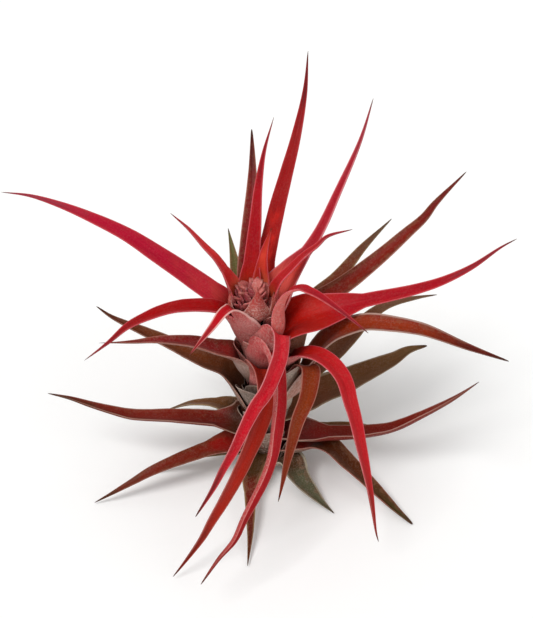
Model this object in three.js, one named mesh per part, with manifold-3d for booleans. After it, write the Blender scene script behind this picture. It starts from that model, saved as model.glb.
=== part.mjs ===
// A red-blushing sky plant (a rosette air plant on a leafy stem), lifted out and set down on a table.
// Millimetres, +Z up. The origin is the middle of the plant's box, on the table.
// The stem stands at STEM_FOOT and leans a little to the left. The leaves leave it all round: the young
// red ones at the top reach up and out, and the old brown and green ones below arch down to the table.

import * as THREE from "three";
import { mergeVertices } from "three/addons/utils/BufferGeometryUtils.js";
import Module from "manifold-3d";

const wasm = await Module();
wasm.setup();

// Stem
const STEM_FOOT = new THREE.Vector3(4, 5, 0);
const STEM_HEIGHT = 87;
const STEM_LEAN = new THREE.Vector3(-6, 0, 0);
const STEM_RADIUS_FOOT = 5.5;
const STEM_RADIUS_TOP = 4.5;

// Gap kept between neighbouring pieces, and how deep a leaf's foot reaches into the stem before it is cut
const SEAT_GAP = 0.4;
const FOOT_SINK = 0.8;

// Leaf sections: stations along the blade, and how the channel is folded
const STATIONS = 11;
const LEAF_THICKNESS = 1.5;
const TIP_WIDTH = 0.07;
const BASE_WIDTH = 0.5;
const SHEATH_AT = 0.1;
const SHEATH_LENGTH = 0.14;
const CHANNEL_DEPTH = 0.32;

// Flower head
const HEAD_RADIUS = 7.2;
const HEAD_HEIGHT = 15.6;
const HEAD_BASE = 87.4;

const RED = 0xa8202a;
const BROWN = 0x6e2c22;
const OLIVE = 0x5e5136;
const PINK = 0xb07068;
const STRAW = 0x7a6048;

// Each leaf: name, colour, width of its sheath, width of its blade, and its route from stem to tip.
// The route's points are measured from the stem's foot. A leaf is set before those it is pressed by.
const LEAVES = [
  ["leaf_crown_tall", RED, 10.5, 10.5,
    [[-4, 6, 82], [-2, 11, 101], [3, 22, 123], [7, 30, 136], [10, 38, 148], [14, 51, 162], [16, 64, 174]]],
  ["leaf_crown_back_left", RED, 8, 8,
    [[-9, 5, 81], [-9, 8, 100], [-7, 17, 121], [-6, 25, 133], [-3, 33, 145], [2, 42, 156]]],
  ["leaf_crown_back_brown", BROWN, 7, 7,
    [[-10, 6, 74], [-12, 13, 96], [-11, 23, 109], [-8, 41, 127], [-7, 50, 135], [-7, 58, 141]]],
  ["leaf_crown_hook", RED, 6, 5.5,
    [[-13, 2, 82], [-15, 4, 99], [-21, 6, 111], [-26, 7, 116], [-32, 9, 123], [-39, 10, 131]]],
  ["leaf_crown_long_left", RED, 11, 9.5,
    [[-12, -1, 77], [-19, 0, 93], [-32, 4, 102], [-45, 6, 112], [-57, 8, 121], [-69, 10, 127],
      [-82, 13, 132], [-95, 17, 134], [-108, 22, 133]]],
  ["leaf_crown_curved_left", RED, 8, 6.5,
    [[-11, -4, 73], [-15, -5, 91], [-20, -6, 96], [-26, -8, 99], [-38, -14, 103], [-49, -22, 104],
      [-55, -28, 104], [-61, -34, 102], [-70, -40, 98]]],
  ["leaf_crown_small_front", RED, 8, 5,
    [[-8, -7, 80], [-12, -10, 95], [-15, -13, 101], [-18, -18, 103], [-22, -24, 101], [-31, -33, 94]]],
  ["leaf_crown_right", RED, 9, 6.5,
    [[0, 3, 81], [7, 4, 102], [19, 9, 121], [27, 17, 138], [35, 27, 154], [41, 37, 167]]],
  ["leaf_crown_short_right", RED, 7, 5.5,
    [[0, -1, 83], [4, -3, 107], [8, -1, 111], [14, 1, 117], [19, 2, 121], [23, 4, 124], [33, 6, 126]]],
  ["leaf_crown_bract", RED, 6, 5.5,
    [[-1, 5, 84], [-3, 7.5, 100], [-2, 9, 112], [1, 14, 121]]],
  ["leaf_right_high_brown", BROWN, 12, 11.5,
    [[4, 2, 72], [10, 4, 83], [29, 10, 92], [45, 17, 102], [58, 23, 112], [65, 28, 116], [70, 33, 120],
      [83, 42, 130]]],
  ["leaf_right_back_green", OLIVE, 10, 10,
    [[2, 7, 60], [9, 10, 71], [20, 19, 80], [30, 27, 85], [42, 39, 93], [55, 52, 99]]],
  ["leaf_right_long_red", RED, 16, 7.5,
    [[1, -3, 74], [11, -5, 88], [21, -4, 91], [36, -2, 95], [60, 1, 100], [72, 4, 103], [83, 6, 109],
      [94, 9, 116], [100, 10, 118]]],
  ["leaf_right_mid_green", OLIVE, 11, 10,
    [[5, 4, 36], [14, 8, 42], [24, 13, 48], [31, 18, 51], [38, 24, 55], [45, 30, 60], [54, 35, 63],
      [68, 40, 63], [78, 43, 62]]],
  ["leaf_front_hook", RED, 8.5, 5.5,
    [[1, -7, 74], [4, -10, 87], [4, -12, 98], [5, -15, 106], [8, -19, 115], [12, -21, 118],
      [15, -24, 119], [19, -26, 118], [27, -30, 114], [37, -38, 110]]],
  ["leaf_right_arch_brown", BROWN, 12, 9.5,
    [[7, -1, 42], [11, -7, 53], [17, -7, 69], [23, -7, 80], [27, -8, 86], [33, -9, 90], [39, -10, 92],
      [50, -13, 93], [62, -16, 91], [79, -22, 87], [95, -27, 84]]],
  ["leaf_right_broad_olive", OLIVE, 14, 12.5,
    [[6, 0, 24], [14, 2, 27], [24, 5, 34], [31, 8, 37], [43, 14, 40], [57, 19, 44], [64, 23, 46],
      [73, 26, 46]]],
  ["leaf_front_red_arch", RED, 9, 8,
    [[3, -7, 58], [9, -10, 70], [15, -15, 77], [20, -20, 80], [25, -25, 80], [29, -31, 77], [32, -38, 72],
      [35, -43, 66], [38, -48, 56], [41, -53, 43], [43, -57, 28], [45, -60, 17]]],
  ["leaf_front_orange", BROWN, 8, 6,
    [[7, -5, 50], [12, -9, 62], [15, -13, 70], [17, -17, 72], [17, -21, 70], [15.5, -26, 64],
      [12, -31, 57], [9.4, -35, 47], [7, -39, 36], [5.2, -42, 26], [4, -44, 20]]],
  ["leaf_right_low_brown", BROWN, 10, 9.5,
    [[6, -2, 18], [10, -4, 22], [16, -6, 23], [23, -7, 23], [43, -8, 25], [56, -8, 28], [68, -7, 35],
      [81, -5, 43], [92, -2, 50]]],
  ["leaf_right_foot_dark", BROWN, 9, 9,
    [[6, -3, 9], [14, -6, 14], [22, -8, 18], [28, -11, 18], [34, -15, 14], [45, -25, 9], [55, -34, 4],
      [63, -41, 1]]],
  ["leaf_foot_front_green", OLIVE, 9, 9,
    [[3, -6, 5], [6, -9, 8], [10, -12, 10], [13, -18, 7], [19, -25, 4], [24, -30, 2], [29, -35, 1]]],
  ["leaf_foot_front_brown", OLIVE, 8, 7.5,
    [[-3, -6, 10], [-6, -13, 10], [-8, -24, 9], [-8, -38, 6], [-8, -49, 4], [-9, -63, 1]]],
  ["leaf_front_red_inner", RED, 9, 7.5,
    [[1, -7, 72], [3, -10, 84], [4, -14, 90], [3, -21, 88], [0, -29, 83], [-3, -38, 79], [-7, -44, 76],
      [-14, -56, 65], [-18, -60, 59], [-22, -63, 51], [-29, -68, 40]]],
  ["leaf_front_red_outer", RED, 9, 8,
    [[-3, -6, 48], [-5, -10, 62], [-4, -14, 70], [-2, -19, 70], [-1.5, -26, 63], [-5, -34, 54],
      [-9.6, -42, 46], [-14, -49, 40], [-18.7, -54, 33], [-23.3, -59, 27], [-28, -62, 18],
      [-34.5, -66, 9], [-40, -69, 2]]],
  ["leaf_front_red_low", RED, 8, 6.5,
    [[-1, -7, 58], [-3, -10, 72], [-2, -13, 80], [1, -18, 82], [3, -23, 77], [4, -29, 68], [3, -38, 60],
      [1, -46, 50], [-2, -53, 45], [-10, -66, 36], [-14, -72, 30], [-20, -77, 25], [-27, -84, 18]]],
  ["leaf_left_dark_red", BROWN, 11, 9.5,
    [[-8, -4, 54], [-10, -5, 62], [-14, -6, 69], [-22, -8, 74], [-31, -10, 79], [-39, -12, 82],
      [-47, -14, 85], [-55, -16, 86], [-68, -20, 89]]],
  ["leaf_left_back_brown", BROWN, 12, 9.5,
    [[-9, 0, 34], [-10, 0, 42], [-14, 1, 50], [-19, 3, 55], [-28, 5, 58], [-47, 12, 63], [-63, 17, 67],
      [-70, 20, 69], [-76, 22, 73]]],
  ["leaf_left_low", BROWN, 13, 11,
    [[-7, -2, 24], [-9, -3, 29], [-14, -4, 28], [-24, -3, 27], [-43, -2, 28], [-62, -1, 28], [-71, 0, 30],
      [-81, 2, 32], [-90, 4, 34], [-100, 6, 35]]],
  ["leaf_left_foot", BROWN, 11, 9.5,
    [[-6, -3, 12], [-9, -4, 16], [-15, -7, 17], [-24, -10, 17], [-42, -17, 15], [-52, -21, 13],
      [-61, -24, 9], [-70, -27, 5], [-78, -29, 1]]],
  ["leaf_back_left_small_green", OLIVE, 7, 7,
    [[-9, 6, 64], [-14, 20, 84], [-16, 34, 92], [-18, 46, 98]]],
  ["leaf_back_high", OLIVE, 10, 9,
    [[-5, 7, 56], [-6, 24, 70], [-8, 48, 72], [-8, 74, 60]]],
  ["leaf_back_right_mid", OLIVE, 10, 9,
    [[-1, 7, 46], [8, 22, 56], [20, 42, 56], [34, 62, 46]]],
  ["leaf_back_left_mid", OLIVE, 10, 8.5,
    [[-7, 6, 36], [-22, 20, 44], [-38, 34, 38], [-50, 46, 30]]],
  ["leaf_back_mid", OLIVE, 10, 9,
    [[0, 7, 34], [6, 26, 42], [12, 48, 38], [18, 68, 26]]],
  ["leaf_back_foot", OLIVE, 10, 9,
    [[-2, 6, 20], [-4, 22, 26], [-6, 44, 20], [-8, 66, 1]]],
  ["leaf_back_right_foot", OLIVE, 10, 8.5,
    [[4, 5, 16], [14, 20, 22], [30, 38, 16], [44, 54, 1]]],
  ["leaf_back_left_foot", OLIVE, 9, 8.5,
    [[-6, 4, 18], [-19, 12, 21], [-35, 21, 14], [-50, 29, 1]]],
  ["leaf_right_foot_small", OLIVE, 8.5, 7.5,
    [[6, 1, 7], [20, 6, 11], [40, 12, 8], [56, 16, 1]]],
  ["leaf_left_foot_small", OLIVE, 8.5, 7.5,
    [[-6, -1, 6], [-20, -5, 10], [-40, -9, 7], [-56, -12, 1]]],
];

// The bracts that wrap the flower head: name, colour, widths and route as for the leaves
const BRACTS = [
  ["bract_front", PINK, 10, 10, [[-6, -8, 86], [-6.5, -10, 94], [-6.5, -9.5, 101], [-5, -7, 106]]],
  ["bract_right", BROWN, 6, 6, [[-1, -6, 88], [1, -7.5, 96], [1, -6, 104]]],
  ["bract_left", STRAW, 5, 5, [[-13, -4, 88], [-15.5, -5, 96], [-15.5, -4, 103]]],
];

// A leaf's half width along its length, 0 at the stem and 1 at the tip: it swells out of a narrow foot
// into the sheath, and the sheath narrows into a blade that tapers to its tip
function halfWidthAt(s, sheath, blade) {
  const foot = s < SHEATH_AT ? BASE_WIDTH + (1 - BASE_WIDTH) * Math.sin((s / SHEATH_AT) * Math.PI / 2) : 1;
  const clasp = (sheath - blade) * Math.exp(-Math.pow((s - SHEATH_AT) / SHEATH_LENGTH, 2));
  const taper = Math.pow(1 - s, 0.85);
  return Math.max(foot * (blade * taper + clasp), blade * TIP_WIDTH) / 2;
}

// A channelled blade along a route: six-cornered sections, closed at both ends
function bladeGeometry(points, sheath, blade, grow = 0) {
  const curve = new THREE.CatmullRomCurve3(points, false, "centripetal");
  const chord = points[points.length - 1].clone().sub(points[0]);
  let side = new THREE.Vector3(chord.y, -chord.x, 0).normalize();
  const vertices = [];
  for (let i = 0; i < STATIONS; i++) {
    const s = i / (STATIONS - 1);
    const along = curve.getTangentAt(s);
    const beyond = i === 0 ? -grow : i === STATIONS - 1 ? grow : 0;
    const centre = curve.getPointAt(s).addScaledVector(along, beyond);
    side = side.clone().addScaledVector(along, -side.dot(along)).normalize();
    const up = new THREE.Vector3().crossVectors(side, along);
    const half = halfWidthAt(s, sheath, blade);
    const depth = 2 * half * CHANNEL_DEPTH;
    const thick = LEAF_THICKNESS * (0.45 + 0.55 * Math.min(1, 2 * half / blade));
    const section = [
      [-half - grow, depth * 0.5 + grow],
      [0, thick * 0.3 - depth * 0.5 + grow],
      [half + grow, depth * 0.5 + grow],
      [half * 0.72 + grow, -depth * 0.08 - thick * 0.35 - grow],
      [0, -depth * 0.5 - thick * 0.7 - grow],
      [-half * 0.72 - grow, -depth * 0.08 - thick * 0.35 - grow],
    ];
    for (const [across, high] of section) {
      const corner = centre.clone().addScaledVector(side, across).addScaledVector(up, high);
      vertices.push(corner.x, corner.y, corner.z);
    }
  }
  const n = 6;
  const faces = [];
  for (let i = 0; i < STATIONS - 1; i++) {
    for (let j = 0; j < n; j++) {
      const a = i * n + j;
      const b = i * n + (j + 1) % n;
      faces.push(a, b, a + n, b, b + n, a + n);
    }
  }
  const last = (STATIONS - 1) * n;
  faces.push(0, 5, 1, 1, 5, 4, 1, 4, 3, 1, 3, 2);
  faces.push(last, last + 1, last + 5, last + 1, last + 4, last + 5);
  faces.push(last + 1, last + 3, last + 4, last + 1, last + 2, last + 3);
  const geometry = new THREE.BufferGeometry();
  geometry.setAttribute("position", new THREE.Float32BufferAttribute(vertices, 3));
  geometry.setIndex(faces);
  return geometry;
}

function toSolid(geometry) {
  const plain = geometry.clone();
  plain.deleteAttribute("normal");
  plain.deleteAttribute("uv");
  const merged = mergeVertices(plain, 1e-4);
  return new wasm.Manifold(new wasm.Mesh({
    numProp: 3,
    vertProperties: merged.attributes.position.array,
    triVerts: Uint32Array.from(merged.index.array),
  }));
}

function toMesh(name, solid, colour) {
  const mesh = solid.getMesh();
  const geometry = new THREE.BufferGeometry();
  geometry.setAttribute("position", new THREE.BufferAttribute(mesh.vertProperties, 3));
  geometry.setIndex(new THREE.BufferAttribute(mesh.triVerts, 1));
  const material = new THREE.MeshStandardMaterial({ color: colour, roughness: 0.6, metalness: 0 });
  const piece = new THREE.Mesh(geometry, material);
  piece.name = name;
  return piece;
}

// The largest body of a solid, where a cut has left slivers beside it
function largestBody(solid) {
  const bodies = solid.decompose();
  return bodies.reduce((best, body) => (body.volume() > best.volume() ? body : best));
}

const fromFoot = ([x, y, z]) => new THREE.Vector3(x, y, z).add(STEM_FOOT);

// The point of the stem's skin that a leaf leaves at, from the first point of its route
function footOnStem(point) {
  const share = (point.z - STEM_FOOT.z) / STEM_HEIGHT;
  const axis = STEM_FOOT.clone().addScaledVector(STEM_LEAN, share).setZ(point.z);
  const radius = THREE.MathUtils.lerp(STEM_RADIUS_FOOT, STEM_RADIUS_TOP, share) - FOOT_SINK;
  return axis.add(point.clone().sub(axis).setLength(radius));
}

// The stem: a lathe-turned tapering axis, sheared to its lean
function stemGeometry(grow = 0) {
  const profile = [
    [0, 0], [STEM_RADIUS_FOOT + grow, 0], [STEM_RADIUS_FOOT + grow, STEM_HEIGHT / 2],
    [STEM_RADIUS_TOP + grow, STEM_HEIGHT], [STEM_RADIUS_TOP + grow, STEM_HEIGHT + grow],
    [0, STEM_HEIGHT + grow],
  ];
  const geometry = new THREE.LatheGeometry(profile.map(([r, z]) => new THREE.Vector2(r, z)), 14);
  geometry.rotateX(Math.PI / 2);
  const position = geometry.attributes.position;
  for (let i = 0; i < position.count; i++) {
    const share = position.getZ(i) / STEM_HEIGHT;
    position.setX(i, position.getX(i) + STEM_LEAN.x * share);
    position.setY(i, position.getY(i) + STEM_LEAN.y * share);
  }
  geometry.translate(STEM_FOOT.x, STEM_FOOT.y, STEM_FOOT.z);
  return geometry;
}

// The flower head: a blunt cone of packed bracts on top of the stem
function headGeometry(grow = 0) {
  const r = HEAD_RADIUS + grow;
  const profile = [
    [0, -grow], [r * 0.7, -grow], [r, HEAD_HEIGHT * 0.3], [r * 0.92, HEAD_HEIGHT * 0.62],
    [r * 0.55, HEAD_HEIGHT * 0.92 + grow], [0, HEAD_HEIGHT + grow],
  ];
  const geometry = new THREE.LatheGeometry(profile.map(([x, z]) => new THREE.Vector2(x, z)), 14);
  geometry.rotateX(Math.PI / 2);
  geometry.translate(STEM_FOOT.x + STEM_LEAN.x - 0.5, STEM_FOOT.y + STEM_LEAN.y, HEAD_BASE);
  return geometry;
}

const plant = new THREE.Group();
const placed = [];

// Sets a piece in the plant, cut back by what is already there, as a sheath is pressed by its neighbours
function place(name, colour, shape) {
  let solid = toSolid(shape(0));
  for (const other of placed) {
    if (solid.minGap(other.solid, SEAT_GAP * 2) < SEAT_GAP * 0.95) {
      solid = solid.subtract(other.grown);
    }
  }
  solid = largestBody(solid);
  placed.push({ name, solid, grown: toSolid(shape(SEAT_GAP)) });
  plant.add(toMesh(name, solid, colour));
}

place("stem", STRAW, stemGeometry);
place("flower_head", PINK, headGeometry);
for (const [name, colour, sheath, blade, route] of BRACTS) {
  const points = route.map(fromFoot);
  place(name, colour, (grow) => bladeGeometry(points, sheath, blade, grow));
}
for (const [name, colour, sheath, blade, route] of LEAVES) {
  const points = route.map(fromFoot);
  points[0] = footOnStem(points[0]);
  place(name, colour, (grow) => bladeGeometry(points, sheath, blade, grow));
}

export default plant;
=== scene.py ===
import math

import bmesh
import bpy
from mathutils import Matrix, Vector


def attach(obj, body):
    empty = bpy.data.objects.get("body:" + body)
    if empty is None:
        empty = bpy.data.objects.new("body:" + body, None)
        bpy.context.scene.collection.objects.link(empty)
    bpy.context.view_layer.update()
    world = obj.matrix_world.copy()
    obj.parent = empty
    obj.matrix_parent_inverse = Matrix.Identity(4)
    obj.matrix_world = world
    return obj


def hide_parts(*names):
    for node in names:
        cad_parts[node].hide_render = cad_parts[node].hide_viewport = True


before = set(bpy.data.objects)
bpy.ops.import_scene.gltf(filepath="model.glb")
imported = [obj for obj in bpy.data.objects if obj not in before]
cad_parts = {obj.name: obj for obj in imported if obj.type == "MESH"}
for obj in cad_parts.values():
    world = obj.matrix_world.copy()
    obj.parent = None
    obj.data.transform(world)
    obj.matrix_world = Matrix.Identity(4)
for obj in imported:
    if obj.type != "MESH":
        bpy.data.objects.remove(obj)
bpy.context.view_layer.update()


# Stem: the woody axis that carries the leaves, a little thicker than a pencil. It is cut off at its foot,
# and the leaves that dropped have left ring scars round it. The living sheaths hide most of it. Its
# values are in millimetres.
MM = 0.001
STEM_FOOT = Vector((4, 5, 0))
STEM_LEAN = Vector((-6, 0, 0))
STEM_HEIGHT = 87
STEM_RADII = (5.3, 4.4)
STEM_RINGS = 90
STEM_SIDES = 48
SCAR_STEP = 3.1
SCAR_CLIMB = 1.1
SCAR_RIDGE = 0.35
SCAR_HALF = 0.45
STEM_WAVE = 0.12
FOOT_BEVEL = 0.9


def paint(hex_colour):
    """An sRGB hex colour as the linear one that a socket takes."""
    parts = [int(hex_colour[i:i + 2], 16) / 255 for i in (1, 3, 5)]
    return [c / 12.92 if c <= 0.04045 else ((c + 0.055) / 1.055) ** 2.4 for c in parts] + [1]


def add(tree, kind, inputs=None, out=0, points=None, **settings):
    """Adds a node with its settings and links, and gives one output. A kind without "Node" in it is a
    shader node's. A socket is linked and anything else is set. The points are those of a float curve."""
    made = tree.nodes.new(kind if "Node" in kind else "ShaderNode" + kind)
    for key, value in settings.items():
        setattr(made, key, value)
    for key, value in (inputs or {}).items():
        if isinstance(value, bpy.types.NodeSocket):
            tree.links.new(value, made.inputs[key])
        else:
            made.inputs[key].default_value = value
    if points:
        line = made.mapping.curves[0].points
        for x, y in points[1:-1]:
            line.new(x, y)
        line[0].location = points[0]
        line[-1].location = points[-1]
        made.mapping.update()
    return made if out is None else made.outputs[out]


COLOURS = {"out": 2, "data_type": "RGBA"}


def new_object(name, data):
    """An object in the scene, at the origin."""
    made = bpy.data.objects.new(name, data)
    bpy.context.collection.objects.link(made)
    return made


def new_finish(name, **constants):
    """An empty material with its Principled shader, and the numbers that are the same all over it."""
    material = bpy.data.materials.new(name)
    material.use_nodes = True
    shader = material.node_tree.nodes["Principled BSDF"]
    for key, value in constants.items():
        shader.inputs[key.replace("_", " ")].default_value = value
    return material, material.node_tree, shader


def wire_finish(tree, shader, colour, height, strength, depth):
    """Links a finish's colour, and its relief from a height, with the relief's depth in metres."""
    relief = add(tree, "Bump", {"Height": height, "Strength": strength, "Distance": depth})
    tree.links.new(colour, shader.inputs["Base Color"])
    tree.links.new(relief, shader.inputs["Normal"])


def set_piece(piece, node=None):
    """Puts a finished piece in the plant: it rides on its one body, and may stand for a CAD node."""
    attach(piece, "root")
    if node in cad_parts:
        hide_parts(node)
    return piece


def stem_mesh():
    skin = bmesh.new()
    rings = []
    for i in range(STEM_RINGS):
        share = i / (STEM_RINGS - 1)
        height = STEM_HEIGHT * share
        ring = []
        for j in range(STEM_SIDES):
            turn = math.tau * j / STEM_SIDES
            scar = (height + SCAR_CLIMB * turn / math.tau) % SCAR_STEP - SCAR_STEP / 2
            radius = STEM_RADII[0] + (STEM_RADII[1] - STEM_RADII[0]) * share
            radius += SCAR_RIDGE * math.exp(-(scar / SCAR_HALF) ** 2)
            radius += STEM_WAVE * math.sin(5 * turn + height) - FOOT_BEVEL * math.exp(-2 * height)
            spot = Vector((radius * math.cos(turn), radius * math.sin(turn), height))
            ring.append(skin.verts.new((STEM_FOOT + STEM_LEAN * share + spot) * MM))
        rings.append(ring)
    for low, high in zip(rings, rings[1:]):
        for j in range(STEM_SIDES):
            k = (j + 1) % STEM_SIDES
            skin.faces.new((low[j], low[k], high[k], high[j]))
    skin.faces.new(reversed(rings[0]))
    skin.faces.new(rings[-1])
    mesh = bpy.data.meshes.new("stem_wood")
    skin.to_mesh(mesh)
    mesh.shade_smooth()
    return mesh


# Dry fibrous bark of a leafy stem: dull, straw brown streaked with dark brown along its fibres
bark, tree, shader = new_finish("Dry stem bark", Roughness=0.85)
spot = add(tree, "TexCoord", out="Object")
stretched = add(tree, "Mapping", {"Vector": spot, "Scale": (900, 900, 120)})
fibre = add(tree, "TexNoise", {"Vector": stretched, "Scale": 1.0, "Detail": 5.0})
tone = add(tree, "Mix", {0: fibre, 6: paint("#4B3526"), 7: paint("#A58C6C")}, **COLOURS)
wire_finish(tree, shader, tone, fibre, 0.6, 0.0004)
stem = new_object("stem_wood", stem_mesh())
stem.data.materials.append(bark)
set_piece(stem, "stem")


# Leaves: each is one tapering blade that rises out of a broad sheath clasped round the stem. The blade is
# a channel, thick along its keel and thin at its rims, and it rolls up towards its needle tip.
# The tree sweeps that section along the leaf's route. Everything in it is in millimetres and degrees.
# Wrap, Fold and Tip Roll are the half turns of the section at the sheath, along the blade and added at
# the tip. Slimness is 1 on a blade that narrows evenly, less on a strap that keeps its width, and more
# on one that narrows early.
LEAF_SIZES = {
    "Blade Width": 8, "Sheath Width": 15, "Sheath Length": 26, "Wrap": 72, "Fold": 42, "Tip Roll": 70,
    "Slimness": 1, "Keel": 0.2, "Thickness": 1.5, "Roll": 0, "Twist": 0, "Ripple": 0.1, "Seed": 0,
}
ROUTE_STEPS = 12


def new_tree(name, kind, outputs, inputs, sizes=None):
    """An empty node tree with its named sockets, whose kinds are given by name, and its sizes with their
    usual values. It gives the tree and the outputs of its input node."""
    tree = bpy.data.node_groups.new(name, kind)
    for way, doors in (("OUTPUT", outputs), ("INPUT", inputs)):
        for label, door in doors.items():
            tree.interface.new_socket(label, in_out=way, socket_type="NodeSocket" + door)
    for label, size in (sizes or {}).items():
        door = tree.interface.new_socket(label, in_out="INPUT", socket_type="NodeSocketFloat")
        door.default_value = size
    return tree, add(tree, "NodeGroupInput", out=None).outputs


def run_tree(holder, tree, values):
    """Gives a tree its values by name, and keeps what it makes as the holder's mesh."""
    run = holder.modifiers.new("run", "NODES")
    run.node_group = tree
    doors = {item.name: item.identifier for item in tree.interface.items_tree if item.in_out == "INPUT"}
    for key, value in values.items():
        run[doors[key.replace("_", " ").title()]] = value
    finished = holder.evaluated_get(bpy.context.evaluated_depsgraph_get())
    holder.data = bpy.data.meshes.new_from_object(finished)
    holder.modifiers.clear()
    return holder


def leaf_tree():
    tree, given = new_tree("Channelled leaf", "GeometryNodeTree", {"Leaf": "Geometry"},
                           {"Route": "Geometry", "Skin": "Material"}, LEAF_SIZES)

    # The leaf starts as a closed tube: across runs from rim to rim, along from foot to tip, and upper is
    # 1 on the upper face and -1 on the lower one
    tube = add(tree, "GeometryNodeMeshCylinder",
               {"Vertices": 40, "Side Segments": 110, "Radius": 1, "Depth": 1}, fill_type="NGON")
    spot = add(tree, "SeparateXYZ", {0: add(tree, "GeometryNodeInputPosition")}, out=None).outputs
    across = add(tree, "Math", {0: spot[0], 1: -1}, operation="MULTIPLY")
    upper = spot[1]
    along = add(tree, "Math", {0: spot[2], 1: 0.5}, operation="ADD")
    off_keel = add(tree, "Math", {0: across}, operation="ABSOLUTE")

    # Width: the sheath swells near the foot and narrows into the blade
    route = add(tree, "GeometryNodeMeshToCurve", {"Mesh": given["Route"]})
    length = add(tree, "GeometryNodeCurveLength", {"Curve": route})
    reach = add(tree, "Math", {0: along, 1: length}, operation="MULTIPLY")
    share = add(tree, "Math", {0: reach, 1: given["Sheath Length"]}, operation="DIVIDE")
    clasp = add(tree, "FloatCurve", {"Value": share},
                points=[(0, 0.75), (0.2, 0.97), (0.4, 1), (0.7, 0.5), (1, 0)])
    taper = add(tree, "FloatCurve", {"Value": along},
                points=[(0, 1), (0.25, 0.97), (0.55, 0.7), (0.8, 0.38), (0.93, 0.17), (0.985, 0.08),
                        (1, 0.02)])
    taper = add(tree, "Math", {0: taper, 1: given["Slimness"]}, operation="POWER")
    extra = add(tree, "Math", {0: given["Sheath Width"], 1: given["Blade Width"]}, operation="SUBTRACT")
    swell = add(tree, "Math", {0: extra, 1: clasp}, operation="MULTIPLY")
    width = add(tree, "Math", {0: given["Blade Width"], 1: taper, 2: swell}, operation="MULTIPLY_ADD")
    drift = add(tree, "CombineXYZ",
                {0: add(tree, "Math", {0: along, 1: 5}, operation="MULTIPLY"), 1: given["Seed"]})
    wobble = add(tree, "TexNoise", {"Vector": drift, "Scale": 1.0})
    wobble = add(tree, "Math", {0: wobble, 1: 0.5}, operation="SUBTRACT")
    uneven = add(tree, "Math", {0: wobble, 1: given["Ripple"], 2: 1}, operation="MULTIPLY_ADD")
    half = add(tree, "Math", {0: width, 1: 0.5}, operation="MULTIPLY")
    half = add(tree, "Math", {0: half, 1: uneven}, operation="MULTIPLY")

    # Channel: the section is an arc that closes near the stem and near the tip, with a crease on its keel
    tip_roll = add(tree, "FloatCurve", {"Value": along}, points=[(0, 0), (0.6, 0.05), (0.85, 0.5), (1, 1)])
    tip_roll = add(tree, "Math", {0: given["Tip Roll"], 1: tip_roll}, operation="MULTIPLY")
    hug = add(tree, "Math", {0: given["Wrap"], 1: given["Fold"]}, operation="SUBTRACT")
    hug = add(tree, "Math", {0: hug, 1: clasp, 2: given["Fold"]}, operation="MULTIPLY_ADD")
    curl = add(tree, "Math", {0: hug, 1: tip_roll}, operation="ADD")
    curl = add(tree, "Math", {0: curl}, operation="RADIANS")
    bend = add(tree, "Math", {0: curl, 1: across}, operation="MULTIPLY")
    sine = add(tree, "Math", {0: bend}, operation="SINE")
    cosine = add(tree, "Math", {0: bend}, operation="COSINE")
    rim_cosine = add(tree, "Math", {0: curl}, operation="COSINE")
    middle = add(tree, "Math", {0: rim_cosine, 1: 0.5, 2: 0.5}, operation="MULTIPLY_ADD")
    arc = add(tree, "Math", {0: middle, 1: cosine}, operation="SUBTRACT")
    arc = add(tree, "Math", {0: arc, 1: curl}, operation="DIVIDE")
    squared = add(tree, "Math", {0: across, 1: across}, operation="MULTIPLY")
    crease = add(tree, "Math", {0: off_keel, 1: squared}, operation="SUBTRACT")
    arc = add(tree, "Math", {0: crease, 1: given["Keel"], 2: arc}, operation="MULTIPLY_ADD")

    # Rims: they rise and fall a little, more the further they are from the keel
    drift = add(tree, "CombineXYZ",
                {0: add(tree, "Math", {0: along, 1: 7}, operation="MULTIPLY"), 1: across,
                 2: given["Seed"]})
    wave = add(tree, "TexNoise", {"Vector": drift, "Scale": 1.3, "Detail": 3.0})
    wave = add(tree, "Math", {0: wave, 1: 2, 2: -1}, operation="MULTIPLY_ADD")
    wave = add(tree, "Math", {0: wave, 1: squared}, operation="MULTIPLY")
    high = add(tree, "Math", {0: wave, 1: given["Ripple"], 2: arc}, operation="MULTIPLY_ADD")
    high = add(tree, "Math", {0: half, 1: high}, operation="MULTIPLY")
    wide = add(tree, "Math", {0: half, 1: sine}, operation="MULTIPLY")
    wide = add(tree, "Math", {0: wide, 1: curl}, operation="DIVIDE")

    # Thickness: full along the keel, none at the rims, less towards the tip
    thinning = add(tree, "FloatCurve", {"Value": along},
                   points=[(0, 0.8), (0.2, 1), (0.6, 0.8), (0.85, 0.45), (1, 0.05)])
    flesh = add(tree, "Math", {0: given["Thickness"], 1: thinning}, operation="MULTIPLY")
    flesh = add(tree, "Math", {0: flesh, 1: 0.5}, operation="MULTIPLY")
    flesh = add(tree, "Math", {0: flesh, 1: upper}, operation="MULTIPLY")
    inward = add(tree, "Math", {0: flesh, 1: sine}, operation="MULTIPLY")
    wide = add(tree, "Math", {0: wide, 1: inward}, operation="SUBTRACT")
    high = add(tree, "Math", {0: flesh, 1: cosine, 2: high}, operation="MULTIPLY_ADD")

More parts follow.
